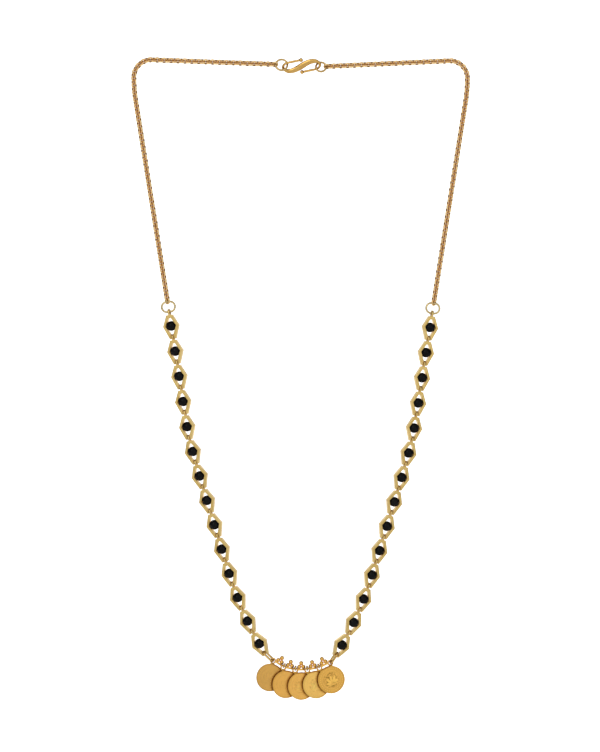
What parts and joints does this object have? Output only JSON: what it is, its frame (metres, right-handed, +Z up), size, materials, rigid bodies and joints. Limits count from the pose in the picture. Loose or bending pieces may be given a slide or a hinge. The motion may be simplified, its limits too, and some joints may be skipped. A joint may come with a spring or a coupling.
{
  "type": "mangalsutra necklace",
  "caption": "Gold-coloured marriage necklace: rolo chains with an S hook, hinged six-sided links round black beads, and a row of overlapping coins.",
  "frame": {"origin": "middle of the top run, where the necklace lies against the nape of the neck", "axes": "+Z up, +X to the right seen from the front, -Y to the front"},
  "size_m": [0.1287, 0.0043, 0.2442],
  "materials": {
    "gold": "polished gold-coloured metal",
    "chain_gold": "polished gold-coloured wire, slightly coppery",
    "frame_gold": "satin pale gold-coloured metal",
    "bead": "glossy opaque black"
  },
  "bodies": {
    "root": {"chain_left": "chain_gold", "chain_right": "chain_gold", "clasp_hook": "gold", "clasp_ring_left": "gold", "clasp_ring_right": "gold", "jump_ring_left": "gold", "jump_ring_right": "gold", "end_ring_left": "gold", "end_ring_right": "gold", "beads_left": "bead", "beads_right": "bead", "link_left_01": "frame_gold", "link_left_02": "frame_gold", "link_left_03": "frame_gold", "link_left_04": "frame_gold", "link_left_05": "frame_gold", "link_left_06": "frame_gold", "link_left_07": "frame_gold", "link_left_08": "frame_gold", "link_left_09": "frame_gold", "link_left_10": "frame_gold", "link_left_11": "frame_gold", "link_left_12": "frame_gold", "link_left_13": "frame_gold", "link_left_14": "frame_gold", "link_right_01": "frame_gold", "link_right_02": "frame_gold", "link_right_03": "frame_gold", "link_right_04": "frame_gold", "link_right_05": "frame_gold", "link_right_06": "frame_gold", "link_right_07": "frame_gold", "link_right_08": "frame_gold", "link_right_09": "frame_gold", "link_right_10": "frame_gold", "link_right_11": "frame_gold", "link_right_12": "frame_gold", "link_right_13": "frame_gold", "link_right_14": "frame_gold", "coin_1": "gold", "coin_2": "gold", "coin_3": "gold", "coin_4": "gold", "coin_5": "gold", "coin_ring_1": "gold", "coin_ring_2": "gold", "coin_ring_3": "gold", "coin_ring_4": "gold"}
  },
  "joints": []
}
